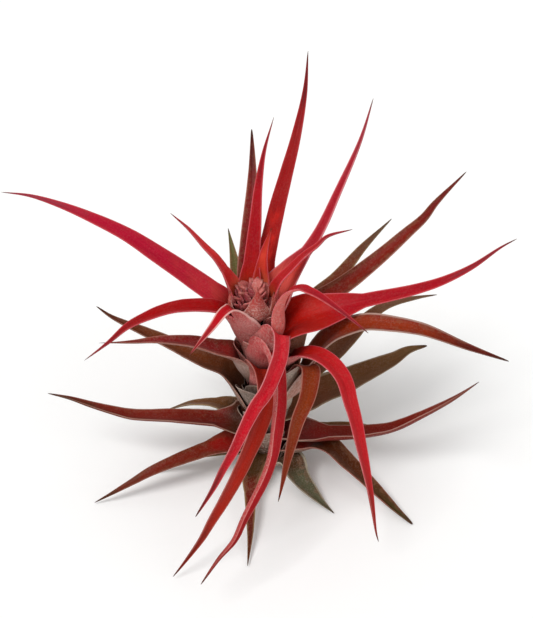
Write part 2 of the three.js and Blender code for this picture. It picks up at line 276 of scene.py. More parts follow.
    # Placing: the section stands square to the route, and it is rolled only past the sheath
    width_way = add(tree, "GeometryNodeInputNamedAttribute", {"Name": "side"}, data_type="FLOAT_VECTOR")
    sample = add(tree, "GeometryNodeSampleCurve", {"Curves": route, "Value": width_way, "Factor": along},
                 out=None, data_type="FLOAT_VECTOR").outputs
    free = add(tree, "Math", {0: 1, 1: clasp}, operation="SUBTRACT")
    turn = add(tree, "Math", {0: given["Roll"], 1: free}, operation="MULTIPLY")
    turn = add(tree, "Math", {0: given["Twist"], 1: along, 2: turn}, operation="MULTIPLY_ADD")
    turn = add(tree, "Math", {0: turn}, operation="RADIANS")
    side = add(tree, "VectorRotate", {"Vector": sample[0], "Axis": sample["Tangent"], "Angle": turn})
    up = add(tree, "VectorMath", {0: side, 1: sample["Tangent"]}, operation="CROSS_PRODUCT")
    place = add(tree, "VectorMath", {0: side, "Scale": wide}, operation="SCALE")
    place = add(tree, "VectorMath", {0: place, 1: sample["Position"]}, operation="ADD")
    lift = add(tree, "VectorMath", {0: up, "Scale": high}, operation="SCALE")
    place = add(tree, "VectorMath", {0: place, 1: lift}, operation="ADD")

    # What the skin reads: the place on the leaf as shares and in millimetres, and the hold of the sheath
    where = add(tree, "CombineXYZ", {0: across, 1: along, 2: upper})
    off_middle = add(tree, "Math", {0: across, 1: half}, operation="MULTIPLY")
    where_mm = add(tree, "CombineXYZ", {0: off_middle, 1: reach, 2: given["Seed"]})
    rim_gap = add(tree, "Math", {0: 1, 1: off_keel}, operation="SUBTRACT")
    rim_gap = add(tree, "Math", {0: rim_gap, 1: half}, operation="MULTIPLY")
    leaf = tube
    for name, value, kind in (("leaf_place", where, "FLOAT_VECTOR"), ("leaf_mm", where_mm, "FLOAT_VECTOR"),
                              ("rim_mm", rim_gap, "FLOAT"), ("clasp", clasp, "FLOAT")):
        leaf = add(tree, "GeometryNodeStoreNamedAttribute",
                   {"Geometry": leaf, "Name": name, "Value": value}, data_type=kind, domain="POINT")
    leaf = add(tree, "GeometryNodeSetPosition", {"Geometry": leaf, "Position": place})
    leaf = add(tree, "GeometryNodeTransform", {"Geometry": leaf, "Scale": (MM, MM, MM)})
    leaf = add(tree, "GeometryNodeSetShadeSmooth", {"Geometry": leaf})
    leaf = add(tree, "GeometryNodeRealizeInstances", {"Geometry": leaf})
    leaf = add(tree, "GeometryNodeSetMaterial", {"Geometry": leaf, "Material": given["Skin"]})
    add(tree, "NodeGroupOutput", {0: leaf}, out=None)
    return tree


def smooth_route(points):
    """A smooth line through the points that were given, in millimetres from the stem's foot."""
    spots = [Vector(p) for p in points]
    spots = [2 * spots[0] - spots[1]] + spots + [2 * spots[-1] - spots[-2]]
    line = []
    for a, b, c, d in zip(spots, spots[1:], spots[2:], spots[3:]):
        t1 = (b - a).length ** 0.5
        t2 = t1 + (c - b).length ** 0.5
        t3 = t2 + (d - c).length ** 0.5
        for step in range(ROUTE_STEPS):
            t = t1 + (t2 - t1) * step / ROUTE_STEPS
            ab = a.lerp(b, t / t1)
            bc = b.lerp(c, (t - t1) / (t2 - t1))
            cd = c.lerp(d, (t - t2) / (t3 - t2))
            abc = ab.lerp(bc, t / t2)
            bcd = bc.lerp(cd, (t - t1) / (t3 - t1))
            line.append(abc.lerp(bcd, (t - t1) / (t2 - t1)) + STEM_FOOT)
    return line + [spots[-2] + STEM_FOOT]


LEAF_TREE = leaf_tree()


def sweep_leaf(name, points, skin, sizes):
    """A leaf's mesh object: its route as a line, turned into the finished leaf by the tree."""
    line = smooth_route(points)
    chord = line[-1] - line[0]
    side = Vector((chord.y, -chord.x, 0)).normalized()
    mesh = bpy.data.meshes.new(name)
    mesh.from_pydata(line, [(i, i + 1) for i in range(len(line) - 1)], [])
    ways = mesh.attributes.new("side", "FLOAT_VECTOR", "POINT")
    for i, way in enumerate(ways.data):
        ahead = (line[min(i + 1, len(line) - 1)] - line[max(i - 1, 0)]).normalized()
        side = (side - ahead * side.dot(ahead)).normalized()
        way.vector = side
    sizes = {key: float(size) for key, size in sizes.items()}
    return run_tree(new_object(name, mesh), LEAF_TREE, dict(sizes, skin=skin))


# Living leaf skin: a waxy green skin flushed red or brown by the sun, satin, with silver scurf of tiny
# water scales on the sheaths and undersides, pale rims, fine streaks, dull patches, and dry brown tips.
# A look names its tones (the channel's foot, three along the blade, beside the rims, the underside, the
# outside of the sheath, the painted shade on that outside near its foot, the rims), the rims' width in mm,
# and how much of it is scurfy, patched or dry.
RED = dict(inner="#A02A1C", base="#C0221A", middle="#BE0A1C", tip="#88202C", edge="#C01822",
           under="#BC4846", sheath="#BE6864", foot="#7E3630", rim="#C4505A", rim_width=0.4, scurf=0.05,
           under_scurf=0.5, mottle=0.05, dry=0.06)
BROWN = dict(inner="#48200F", base="#6C1E0C", middle="#7E1C0C", tip="#581A10", edge="#802018",
             under="#7E2C24", sheath="#8E7468", foot="#4E3A2E", rim="#A86C60", rim_width=0.45, scurf=0.08,
             under_scurf=0.5, mottle=0.35, dry=0.07)
OLIVE = dict(inner="#4A3018", base="#5A3416", middle="#663C18", tip="#54402A", edge="#684428",
             under="#766450", sheath="#93887B", foot="#5A4E42", rim="#8C7450", rim_width=0.6, scurf=0.12,
             under_scurf=0.6, mottle=0.45, dry=0.07)
SMOOTH = {"interpolation_type": "SMOOTHSTEP"}


def skin_tree():
    tree, given = new_tree("Living leaf skin", "ShaderNodeTree",
                           {"Colour": "Color", "Roughness": "Float", "Height": "Float"},
                           {key.replace("_", " ").title(): "Color" if isinstance(value, str) else "Float"
                            for key, value in RED.items()})
    place = add(tree, "Attribute", out="Vector", attribute_name="leaf_place")
    across, along, upper = add(tree, "SeparateXYZ", {0: place}, out=None).outputs
    skin_mm = add(tree, "Attribute", out="Vector", attribute_name="leaf_mm")
    clasp = add(tree, "Attribute", out="Fac", attribute_name="clasp")
    off_keel = add(tree, "Math", {0: across}, operation="ABSOLUTE")
    under = add(tree, "MapRange", {0: upper, 1: 0.08, 2: -0.08}, **SMOOTH)
    held = add(tree, "MapRange", {0: clasp, 1: 0.2, 2: 0.8}, **SMOOTH)

    # Clouds of about 8 mm move every border a little, and the tones follow each other up the blade
    cloud = add(tree, "TexNoise", {"Vector": skin_mm, "Scale": 0.12, "Detail": 3.0})
    shift = add(tree, "Math", {0: cloud, 1: 0.4, 2: -0.2}, operation="MULTIPLY_ADD")
    drifted = add(tree, "Math", {0: along, 1: shift}, operation="ADD")
    low = add(tree, "MapRange", {0: drifted, 1: 0.12, 2: 0.42}, **SMOOTH)
    tone = add(tree, "Mix", {0: low, 6: given["Base"], 7: given["Middle"]}, **COLOURS)
    far = add(tree, "MapRange", {0: drifted, 1: 0.6, 2: 0.97}, **SMOOTH)
    tone = add(tree, "Mix", {0: far, 6: tone, 7: given["Tip"]}, **COLOURS)
    aside = add(tree, "Math", {0: off_keel, 1: shift}, operation="ADD")
    beside = add(tree, "MapRange", {0: aside, 1: 0.35, 2: 0.95, 4: 0.75}, **SMOOTH)
    tone = add(tree, "Mix", {0: beside, 6: tone, 7: given["Edge"]}, **COLOURS)
    tone = add(tree, "Mix", {0: held, 6: tone, 7: given["Inner"]}, **COLOURS)
    below = add(tree, "Mix", {0: held, 6: given["Under"], 7: given["Sheath"]}, **COLOURS)
    below = add(tree, "Mix", {0: far, 6: below, 7: given["Tip"]}, **COLOURS)
    # Painted shade: over its lowest 20 mm the outside of a sheath darkens to the foot tone, where the
    # leaves around it shade it.
    reach = add(tree, "SeparateXYZ", {0: skin_mm}, out=1)
    painted_foot_shade = add(tree, "MapRange", {0: reach, 1: 20, 2: 4, 4: 0.75}, **SMOOTH)
    painted_foot_shade = add(tree, "Math", {0: painted_foot_shade, 1: held}, operation="MULTIPLY")
    below = add(tree, "Mix", {0: painted_foot_shade, 6: below, 7: given["Foot"]}, **COLOURS)
    tone = add(tree, "Mix", {0: under, 6: tone, 7: below}, **COLOURS)

    # Streaks over the veins, 0.7 mm apart and about 8 mm long
    stretched = add(tree, "Mapping", {"Vector": skin_mm, "Scale": (1.4, 0.12, 1)})
    streak = add(tree, "TexNoise", {"Vector": stretched, "Scale": 1.0, "Detail": 6.0, "Roughness": 0.62})
    shade = add(tree, "MapRange", {0: streak, 1: 0.3, 2: 0.7}, **SMOOTH)
    veil = add(tree, "Mix", {0: shade, 6: paint("#B4ACA8"), 7: paint("#FFFFFF")}, **COLOURS)
    tone = add(tree, "Mix", {0: 0.35, 6: tone, 7: veil}, **COLOURS, blend_type="MULTIPLY")

    # Dull patches with scalloped borders, 3 to 4 mm across, that grow in from the rims
    scallop = add(tree, "TexNoise", {"Vector": skin_mm, "Scale": 0.4, "Detail": 4.0, "Roughness": 0.6})
    spread = add(tree, "Math", {0: off_keel, 1: 0.3, 2: scallop}, operation="MULTIPLY_ADD")
    patch = add(tree, "MapRange", {0: spread, 1: 0.66, 2: 0.74}, **SMOOTH)
    patch = add(tree, "Math", {0: patch, 1: given["Mottle"]}, operation="MULTIPLY")
    patch = add(tree, "Math", {0: patch, 1: 0.8}, operation="MULTIPLY")
    tone = add(tree, "Mix", {0: patch, 6: tone, 7: paint("#80583E")}, **COLOURS)

    # Rims: a pale dried edge, twice as broad on the sheath, that wears off towards the tip
    rim_gap = add(tree, "Attribute", out="Fac", attribute_name="rim_mm")
    broad = add(tree, "Math", {0: given["Rim Width"], 1: held, 2: given["Rim Width"]},
                operation="MULTIPLY_ADD")
    narrow = add(tree, "Math", {0: broad, 1: 0.4}, operation="MULTIPLY")
    near = add(tree, "MapRange", {0: rim_gap, 1: broad, 2: narrow, 4: 0.75}, **SMOOTH)
    rim = add(tree, "MapRange", {0: off_keel, 1: 0.7, 2: 0.9}, **SMOOTH)
    worn = add(tree, "MapRange", {0: far, 3: 1, 4: 0.25})
    rim = add(tree, "Math", {0: rim, 1: near}, operation="MULTIPLY")
    rim = add(tree, "Math", {0: rim, 1: worn}, operation="MULTIPLY")
    tone = add(tree, "Mix", {0: rim, 6: tone, 7: given["Rim"]}, **COLOURS)

    # Scurf: water scales of about 0.3 mm, drawn as grains of 0.7 mm so that they show, with dark specks
    cover = add(tree, "Math", {0: given["Under Scurf"], 1: under, 2: given["Scurf"]},
                operation="MULTIPLY_ADD")
    thick = add(tree, "MapRange", {0: cloud, 1: 0.3, 2: 0.6, 3: 0.35}, **SMOOTH)
    cover = add(tree, "Math", {0: cover, 1: worn}, operation="MULTIPLY")
    cover = add(tree, "Math", {0: cover, 1: thick}, operation="MULTIPLY", use_clamp=True)
    grain = add(tree, "TexNoise", {"Vector": skin_mm, "Scale": 1.4, "Detail": 4.0, "Roughness": 0.7})
    grain = add(tree, "MapRange", {0: grain, 1: 0.47, 2: 0.6}, **SMOOTH)
    scurf = add(tree, "Math", {0: cover, 1: grain}, operation="MULTIPLY")
    veil = add(tree, "Math", {0: scurf, 1: 0.5}, operation="MULTIPLY")
    tone = add(tree, "Mix", {0: veil, 6: tone, 7: paint("#E2CAC0")}, **COLOURS)
    speck = add(tree, "TexVoronoi", {"Vector": skin_mm, "Scale": 0.62})
    speck = add(tree, "MapRange", {0: speck, 1: 0.22, 2: 0.1}, **SMOOTH)
    speck = add(tree, "Math", {0: speck, 1: cover}, operation="MULTIPLY")
    speck = add(tree, "Math", {0: speck, 1: 0.75}, operation="MULTIPLY")
    tone = add(tree, "Mix", {0: speck, 6: tone, 7: paint("#42261F")}, **COLOURS)

    # Dry tip
    fresh = add(tree, "Math", {0: 1, 1: given["Dry"]}, operation="SUBTRACT")
    dry = add(tree, "MapRange", {0: along, 1: fresh, 2: 1.0, 4: 0.85}, **SMOOTH)
    tone = add(tree, "Mix", {0: dry, 6: tone, 7: paint("#4A3024")}, **COLOURS)
    dull = add(tree, "Math", {0: dry, 1: 0.5, 2: scurf}, operation="MULTIPLY_ADD")
    dull = add(tree, "Math", {0: patch, 1: 0.5, 2: dull}, operation="MULTIPLY_ADD")
    roughness = add(tree, "MapRange", {0: dull, 3: 0.4, 4: 0.8})
    height = add(tree, "Math", {0: streak, 1: 0.5}, operation="MULTIPLY")
    height = add(tree, "Math", {0: scurf, 1: 0.5, 2: height}, operation="MULTIPLY_ADD")
    add(tree, "NodeGroupOutput", {0: tone, 1: roughness, 2: height}, out=None)
    return tree


SKIN_TREE = skin_tree()


def leaf_skin(name, look):
    """The skin of one leaf or group of scales, from its look."""
    skin, tree, shader = new_finish("Living leaf skin, " + name, Specular_IOR_Level=0.08)
    group = tree.nodes.new("ShaderNodeGroup")
    group.node_tree = SKIN_TREE
    for key, value in look.items():
        socket = group.inputs[key.replace("_", " ").title()]
        socket.default_value = paint(value) if isinstance(value, str) else value
    tree.links.new(group.outputs["Roughness"], shader.inputs["Roughness"])
    wire_finish(tree, shader, group.outputs["Colour"], group.outputs["Height"], 0.5, 0.0004)
    return skin


def grow_leaf(name, slot, look, points, **sizes):
    """Makes a leaf from its look, its route and its sizes, with its foot moved to the stem's skin. Its
    name sets the seed of its waves and patches."""
    foot = Vector(points[0])
    axis = STEM_LEAN * (foot.z / STEM_HEIGHT) + Vector((0, 0, foot.z))
    start = axis + (foot - axis).normalized() * STEM_RADII[1]
    plain = name.replace("leaf_", "")
    leaf = sweep_leaf(plain + "_blade", [start] + points[1:], leaf_skin(plain.replace("_", " "), look),
                      dict(sizes, seed=sum(map(ord, plain)) % 97))
    return set_piece(leaf, name)


# Foot leaves: the oldest ones, low on the stem. They are tough, dull brown to green, and clasp the stem's
# foot with their sheaths. They arch out, and their tips rest on the table.
grow_leaf("leaf_foot_front_green", "olive_leaf",
          dict(OLIVE, base="#54503A", middle="#5B5B42", tip="#4E4A34", edge="#504A38", rim="#A8A28E",
               rim_width=0.9, scurf=0.3),
          [(3, -6, 5), (6, -9, 8), (10, -12, 10), (13, -18, 7), (19, -25, 4), (24, -30, 2), (29, -35, 1)],
          blade_width=15.5, sheath_width=17, slimness=1.2)
grow_leaf("leaf_foot_front_brown", "olive_leaf",
          dict(OLIVE, base="#4C2410", middle="#6A1C0E", tip="#4E2210", edge="#5E2814", under="#6A2C1C"),
          [(-3, -6, 10), (-6, -13, 10), (-8, -24, 9), (-8, -38, 6), (-8, -49, 4), (-9, -63, 1)],
          blade_width=7, sheath_width=14)
grow_leaf("leaf_left_foot_small", "olive_leaf", dict(OLIVE, base="#362202", middle="#463622"),
          [(-6, -1, 6), (-20, -5, 10), (-40, -9, 7), (-56, -12, 1)], blade_width=7.5, sheath_width=13)
grow_leaf("leaf_right_foot_small", "olive_leaf", OLIVE,
          [(6, 1, 7), (20, 6, 11), (40, 12, 8), (56, 16, 1)], blade_width=7.5, sheath_width=13)
grow_leaf("leaf_back_foot", "olive_leaf", OLIVE,
          [(-2, 6, 20), (-4, 22, 26), (-6, 44, 20), (-8, 66, 1)], blade_width=9, sheath_width=17)
grow_leaf("leaf_back_right_foot", "olive_leaf", OLIVE,
          [(4, 5, 16), (14, 20, 22), (30, 38, 16), (44, 54, 1)], blade_width=8.5, sheath_width=17)
grow_leaf("leaf_back_left_foot", "olive_leaf", OLIVE,
          [(-6, 4, 18), (-19, 12, 21), (-35, 21, 14), (-50, 29, 1)], blade_width=8.5, sheath_width=17)
grow_leaf("leaf_left_foot", "brown_leaf",
          dict(BROWN, inner="#8A1A12", base="#A01410", middle="#74200E", tip="#482814", edge="#682610",
               under="#6A2418", mottle=0.2, under_scurf=0.2, rim="#8C5C50", rim_width=0.35),
          [(-6, -3, 12), (-9, -4, 16), (-15, -7, 17), (-24, -10, 17), (-42, -17, 15), (-52, -21, 13),
           (-61, -24, 9), (-70, -27, 5), (-78, -29, 1)],
          blade_width=10, sheath_width=19)
# Its channel's foot is set lighter than its own colour: painted light that lifts the shade the leaves
# around it cast there.
grow_leaf("leaf_right_foot_dark", "brown_leaf",
          dict(BROWN, inner="#8E221A", base="#581C06", middle="#502408", tip="#463A1A", edge="#5A2C12"),
          [(6, -3, 9), (14, -6, 14), (22, -8, 18), (28, -11, 18), (34, -15, 14), (45, -25, 9),
           (55, -34, 4), (63, -41, 1)],
          blade_width=13, sheath_width=17, slimness=0.7)


# Back leaves: fleshy blades on the far side, each out of its own sheath round the stem. The rest of the
# plant shades them, so they have stayed olive green.
grow_leaf("leaf_back_high", "olive_leaf", OLIVE,
          [(-5, 7, 56), (-6, 24, 70), (-8, 48, 72), (-8, 74, 60)], blade_width=9, sheath_width=18)
grow_leaf("leaf_back_right_mid", "olive_leaf", OLIVE,
          [(-1, 7, 46), (8, 22, 56), (20, 42, 56), (34, 62, 46)], blade_width=9, sheath_width=18)
grow_leaf("leaf_back_left_mid", "olive_leaf", OLIVE,
          [(-7, 6, 36), (-22, 20, 44), (-38, 34, 38), (-50, 46, 30)], blade_width=8.5, sheath_width=18)
grow_leaf("leaf_back_mid", "olive_leaf", OLIVE,
          [(0, 7, 34), (6, 26, 42), (12, 48, 38), (18, 68, 26)], blade_width=9, sheath_width=18)
grow_leaf("leaf_back_left_small_green", "olive_leaf", dict(OLIVE, middle="#62582E", tip="#66683E"),
          [(-9, 6, 64), (-13, 20, 84), (-15.5, 34, 92), (-18, 46, 98)], blade_width=9, sheath_width=15)


# Left leaves: long fleshy channels, nearly level, each out of its own sheath round the stem. Half in the
# light, they have turned brown and dark red, with pale rims.
grow_leaf("leaf_left_low", "brown_leaf",
          dict(BROWN, base="#5E1408", middle="#721A0C", tip="#4A2814", edge="#7E1C10", under="#7A2012",
               rim="#98786A", rim_width=0.6, under_scurf=0.08, mottle=0.15),
          [(-7, -2, 24), (-9, -3, 29), (-14, -4, 28), (-24, -3, 27), (-43, -2, 28), (-62, -1, 28),
           (-71, 0, 30), (-81, 2, 32), (-90, 4, 34), (-100, 6, 35)],
          blade_width=14, sheath_width=22, sheath_length=22, fold=58, roll=35)
grow_leaf("leaf_left_back_brown", "brown_leaf",
          dict(BROWN, inner="#5E3826", base="#54301A", middle="#6A3212", tip="#582410", edge="#62301A",
               rim="#98705F", rim_width=0.6, mottle=0.25),
          [(-9, 0, 34), (-10, 0, 41), (-14, 1, 48), (-19, 3, 53), (-28, 5, 56), (-47, 12, 62),
           (-63, 17, 67), (-70, 20, 69), (-76, 22, 73)],
          blade_width=13, sheath_width=22, fold=55, slimness=0.95)
grow_leaf("leaf_left_dark_red", "brown_leaf",
          dict(BROWN, inner="#8E3A36", base="#B0342E", middle="#8E2422", tip="#5A120C", edge="#84221C",
               scurf=0.2, under="#905E56", sheath="#A88A80", under_scurf=0.3),
          [(-8, -4, 54), (-10, -5, 62), (-14, -6, 70), (-22, -8, 75), (-31, -10, 80), (-39, -12, 83),
           (-47, -14, 85), (-55, -16, 86), (-68, -20, 89)],
          blade_width=14.5, sheath_width=20, slimness=1.7, fold=52)


# Right leaves: long fleshy channels like those on the left. The higher on the stem, the redder they are:
# the low ones are brown to olive, and the highest has a broad sheath that is bright red inside.
grow_leaf("leaf_right_low_brown", "brown_leaf",
          dict(BROWN, inner="#702420", base="#821E1C", middle="#771606", tip="#7A4238", under="#7A2018",
               rim="#AC8478", rim_width=0.55, under_scurf=0.12, mottle=0.15),
          [(6, -2, 18), (10, -4, 22), (16, -6, 22.5), (23, -7, 22), (43, -8, 24), (56, -8, 27.5),
           (68, -7, 34.5), (81, -5, 42.5), (92, -2, 50)],
          blade_width=17, sheath_width=19, fold=58, roll=-35, slimness=1.15)
grow_leaf("leaf_right_broad_olive", "olive_leaf",
          dict(OLIVE, inner="#8A5638", base="#68381A", middle="#785030", tip="#705434", edge="#74502C",
               rim="#A8967E", rim_width=0.9, mottle=0.35),
          [(6, 1, 29), (14, 3, 32), (24, 6, 36), (31, 8, 38), (43, 14, 39.5), (57, 19, 43.5),
           (64, 23, 45.5), (73, 26, 46)],
          blade_width=20, sheath_width=20, sheath_length=40, wrap=50, slimness=0.85)
# Its channel's foot is set lighter than its own colour: painted light that lifts the shade the leaves
# around it cast there.
grow_leaf("leaf_right_mid_green", "olive_leaf",
          dict(OLIVE, inner="#A85E40", base="#8E4A2A", middle="#70432A", tip="#7A5E48", edge="#744A32"),
          [(5, 4, 36), (14, 8, 41), (24, 13, 47), (31, 18, 50), (38, 24, 54), (45, 30, 59),
           (54, 35, 62.5), (68, 40, 63), (78, 43, 62.5)],
          blade_width=12, sheath_width=18)
grow_leaf("leaf_right_back_green", "olive_leaf",
          dict(OLIVE, base="#7E2C12", middle="#6E2E14", tip="#64503C", edge="#622E12", dry=0.03),
          [(2, 7, 60), (9, 10, 71), (20, 19, 80), (30, 27, 85), (42, 39, 93), (55, 52, 99)],
          blade_width=11, sheath_width=18)
# Its channel's foot is set lighter than its own colour: painted light that lifts the shade the long red
# leaf casts there.
grow_leaf("leaf_right_arch_brown", "brown_leaf",
          dict(BROWN, inner="#BC7450", base="#9A480F", middle="#8E2C08", tip="#501610", edge="#741408",
               sheath="#BC887A", rim="#B09488", rim_width=1.1, scurf=0.1, under_scurf=0.7),
          [(7, -1, 42), (11, -7, 52), (17, -7, 67), (23, -7, 78), (28, -8, 84.5), (34, -9, 88.5),
           (40, -10, 91), (50, -13, 92.5), (62, -16, 92), (79, -22, 88.5), (95, -27, 85.5)],
          blade_width=13.5, sheath_width=24, sheath_length=50, wrap=50, roll=22, slimness=0.9)
grow_leaf("leaf_right_high_brown", "brown_leaf",
          dict(BROWN, inner="#9A2412", base="#8E2012", middle="#7C1A0A", tip="#6E1614", edge="#5E220E"),
          [(4, 2, 72), (10, 4, 83), (29, 10, 92), (45, 17, 102), (58, 23, 112), (65, 28, 116),
           (70, 33, 120), (83, 42, 130)],
          blade_width=12, sheath_width=20, ripple=0.05)
grow_leaf("leaf_right_long_red", "red_leaf",
          dict(RED, inner="#B8160C", base="#B6020A", middle="#A40A1C", tip="#7E2C34", edge="#AE101C"),
          [(1, -3, 74), (11, -5, 88), (21, -4, 91), (36, -2, 95), (60, 1, 99.5), (72, 4, 102),
           (83, 6, 107.5), (94, 9, 115), (100, 10, 118.5)],
          blade_width=8, sheath_width=26, sheath_length=48, wrap=50, roll=25)


# Front leaves: narrow soft straps that rise out of rosy sheaths below the head, bend over and hang down.
# They are in full light, so all but one are bright red, with paler undersides.
grow_leaf("leaf_front_orange", "brown_leaf",
          dict(BROWN, inner="#8A3618", base="#802C10", middle="#88340F", tip="#842A10", edge="#842010",
               mottle=0.15, rim="#B07868"),
          [(7, -5, 50), (12, -9, 62), (15, -13, 70), (17, -17, 72), (17, -21, 70), (15.5, -26, 64),
           (12, -31, 57), (9.4, -35, 47), (7, -39, 36), (5.2, -42, 26), (4, -44, 20)],
          blade_width=9.6, sheath_width=14, sheath_length=18, fold=32, wrap=50)
grow_leaf("leaf_front_red_arch", "red_leaf",
          dict(RED, inner="#B42218", base="#AC160A", middle="#B81820", tip="#9A2A20", under="#D07470",
               under_scurf=0.8),
          [(3, -7, 58), (8, -10, 71), (14, -15, 79), (20, -20, 82), (25, -25, 82), (29.5, -31, 79),
           (32, -38, 73.5), (34, -43, 68), (36.3, -48, 59), (39.2, -53, 47.5), (42, -57, 33),
           (44.5, -60, 18.5), (45.5, -61, 15)],
          blade_width=10.5, sheath_width=20, slimness=0.95, fold=50, roll=14, twist=-32)
grow_leaf("leaf_front_red_outer", "red_leaf",
          dict(RED, inner="#70120A", base="#A42A18", middle="#B82A1A", tip="#802216", edge="#A02C1C",
               sheath="#C46A66", foot="#9A4C48", under="#8E3A30", rim="#BC7068", rim_width=0.55),
          [(-3, -6, 48), (-5, -10, 62), (-4, -14, 70), (-2, -19, 70), (-1.5, -26, 63), (-5, -34, 54),
           (-9.6, -42, 46), (-14, -49, 40), (-18.7, -54, 33), (-23.3, -59, 27), (-28, -62, 18),
           (-34.5, -66, 9), (-40, -69, 2)],
          blade_width=13, sheath_width=20, roll=12)
grow_leaf("leaf_front_red_low", "red_leaf",
          dict(RED, base="#BE0A12", middle="#BC0A1C", tip="#8E2C26", edge="#B01822", under="#BE4C4C",
               sheath="#C87470", foot="#9A4C48", rim="#C06E6A", rim_width=0.5),
          [(-1, -7, 58), (-3, -10, 72), (-2, -13, 80), (1, -18, 82), (3, -23, 77), (4, -29, 68),
           (3, -38, 60), (1, -46, 50), (-2, -53, 45), (-10, -66, 36), (-14, -72, 30), (-20, -77, 25),
           (-27, -84, 18)],
          blade_width=15, sheath_width=22, slimness=0.95, fold=58, roll=-8)
# Its lower blade is set lighter than its own red: painted light that lifts the shade the leaves around it
# cast there.
grow_leaf("leaf_front_red_inner", "red_leaf",
          dict(RED, base="#E43640", middle="#C40C22", tip="#7C2426", edge="#BA2430", sheath="#C8706C",
               foot="#A85A56", rim="#D07C80", rim_width=0.35, scurf=0.1, under_scurf=0.65),
          [(-2, -7, 70), (0, -11, 80), (3.5, -14, 89), (4.6, -18, 90), (4.2, -24, 86), (2.4, -29, 83),
           (-1.6, -38, 79), (-6, -44, 76), (-14, -56, 65), (-18, -60, 59), (-22, -63, 51),
           (-29, -68, 40)],
          blade_width=9, sheath_width=24, sheath_length=27, wrap=76, slimness=0.85)
grow_leaf("leaf_front_hook", "red_leaf",
          dict(RED, under="#DC6C66", sheath="#D06A66", foot="#B04A44", middle="#B00C1C", edge="#B40E1C"),
          [(2, -7, 68), (4, -11, 87), (4, -12, 98), (5, -15, 106), (8, -19, 115), (12, -21, 118),
           (15, -24, 119), (19, -26, 118), (27, -30, 114), (37, -38, 110)],
          blade_width=9, sheath_width=10, sheath_length=30, wrap=55, ripple=0.03)


# Crown leaves: the youngest ones, thin, stiff and red, most with orange feet. Their sheaths stand close
# together on the top of the stem and hold the flower head.
grow_leaf("leaf_crown_small_front", "red_leaf",
          dict(RED, base="#B80614", middle="#B80818", tip="#841E24", sheath="#C8726E", foot="#B46460",
               rim="#E8B8B0", rim_width=0.9),
          [(-8, -7, 80), (-12, -10, 95), (-15, -13, 101), (-18, -18, 103), (-22, -24, 101),
           (-31, -33, 94)],
          blade_width=7.5, sheath_width=18)
grow_leaf("leaf_crown_curved_left", "red_leaf",
          dict(RED, base="#AC0C0A", middle="#A40408", tip="#7A2024", edge="#A8141C"),
          [(-11, -4, 73), (-15, -5, 90), (-20, -6, 95), (-26, -8, 98), (-38, -14, 102), (-49, -22, 103.5),
           (-55, -28, 104), (-61, -34, 102), (-70, -40, 98)],
          blade_width=12, sheath_width=19, slimness=1.35, roll=-12)
grow_leaf("leaf_crown_long_left", "red_leaf",
          dict(RED, base="#BD3737", middle="#B20C2E", tip="#8A3844", edge="#B41C30"),
          [(-12, -1, 77), (-19, 0, 94), (-32, 4, 103.5), (-45, 6, 113.5), (-57, 8, 122), (-69, 10, 128),
           (-82, 13, 132.5), (-95, 17, 134.5), (-108, 22, 133)],
          blade_width=10.4, sheath_width=18, roll=-28, slimness=1.25)
# Its channel's foot and lower blade are set lighter than its own colour: painted light that lifts the
# shade the leaves around it cast there.
grow_leaf("leaf_crown_hook", "red_leaf",
          dict(RED, inner="#E4684A", base="#E64C2C", middle="#D02A2C", tip="#9C3640", edge="#CC3A36"),
          [(-13, 2, 82), (-15, 4, 99), (-21, 6, 111), (-26, 7, 117), (-32, 9, 124), (-39, 10, 131)],
          blade_width=7.4, sheath_width=17, slimness=1.1)
grow_leaf("leaf_crown_back_brown", "brown_leaf",
          dict(BROWN, base="#AC3C30", middle="#80201E", tip="#4E1C1A", edge="#7C2A28"),
          [(-9, 6, 74), (-9.8, 13, 96), (-8.8, 23, 109), (-7, 41, 127), (-7, 50, 135), (-7.3, 58, 141)],
          blade_width=8, sheath_width=13, slimness=0.7)
grow_leaf("leaf_crown_back_left", "red_leaf",
          dict(RED, inner="#B83820", base="#BC2618", middle="#A20A18", tip="#741622", edge="#A81018"),
          [(-9, 5, 81), (-7.5, 8, 100), (-5.5, 17, 121), (-4.3, 25, 133), (-2, 33, 145), (2, 42, 156)],
          blade_width=8, sheath_width=15, slimness=1.3)
# Its channel's foot and lower blade are set lighter than its own red: painted light that lifts the shade
# its neighbours cast there.
grow_leaf("leaf_crown_tall", "red_leaf",
          dict(RED, inner="#E84438", base="#FF3A2C", middle="#981214", tip="#60161C", edge="#9A1418",
               rim="#AC3038"),
          [(-4, 6, 82), (-2, 11, 101), (3, 22, 123), (7, 30, 136), (10.8, 38, 148), (14.6, 51, 162),
           (16, 64, 174)],
          blade_width=8.8, sheath_width=16, slimness=1.05)
grow_leaf("leaf_crown_bract", "red_leaf",
          dict(RED, inner="#E06444", base="#E8583A", middle="#E04432", tip="#A82A1A"),
          [(-1, 5, 84), (-3, 7.5, 100), (-2, 9, 112), (1, 14, 121)], blade_width=8, sheath_width=11)
# Its channel's foot is set lighter than its own colour: painted light that lifts the shade the leaves
# around it cast there.
grow_leaf("leaf_crown_right", "red_leaf",
          dict(RED, inner="#F0645A", base="#D8402E", middle="#A41626", tip="#8C2E3A", edge="#B83640",
               rim="#D07880"),
          [(0, 3, 81), (7, 4, 102), (19.5, 9, 121), (28, 17, 138), (36, 27, 154), (41, 37, 167)],
          blade_width=6.8, sheath_width=22, sheath_length=38, fold=50)
grow_leaf("leaf_crown_short_right", "red_leaf",
          dict(RED, inner="#C04A2C", base="#BC3018", middle="#AE1C20", tip="#88202A"),
          [(0, -1, 83), (4, -3, 107), (8, -1, 111), (14, 1, 117), (19, 2, 121), (23, 4, 124),
           (33, 6, 126)],
          blade_width=7, sheath_width=15)


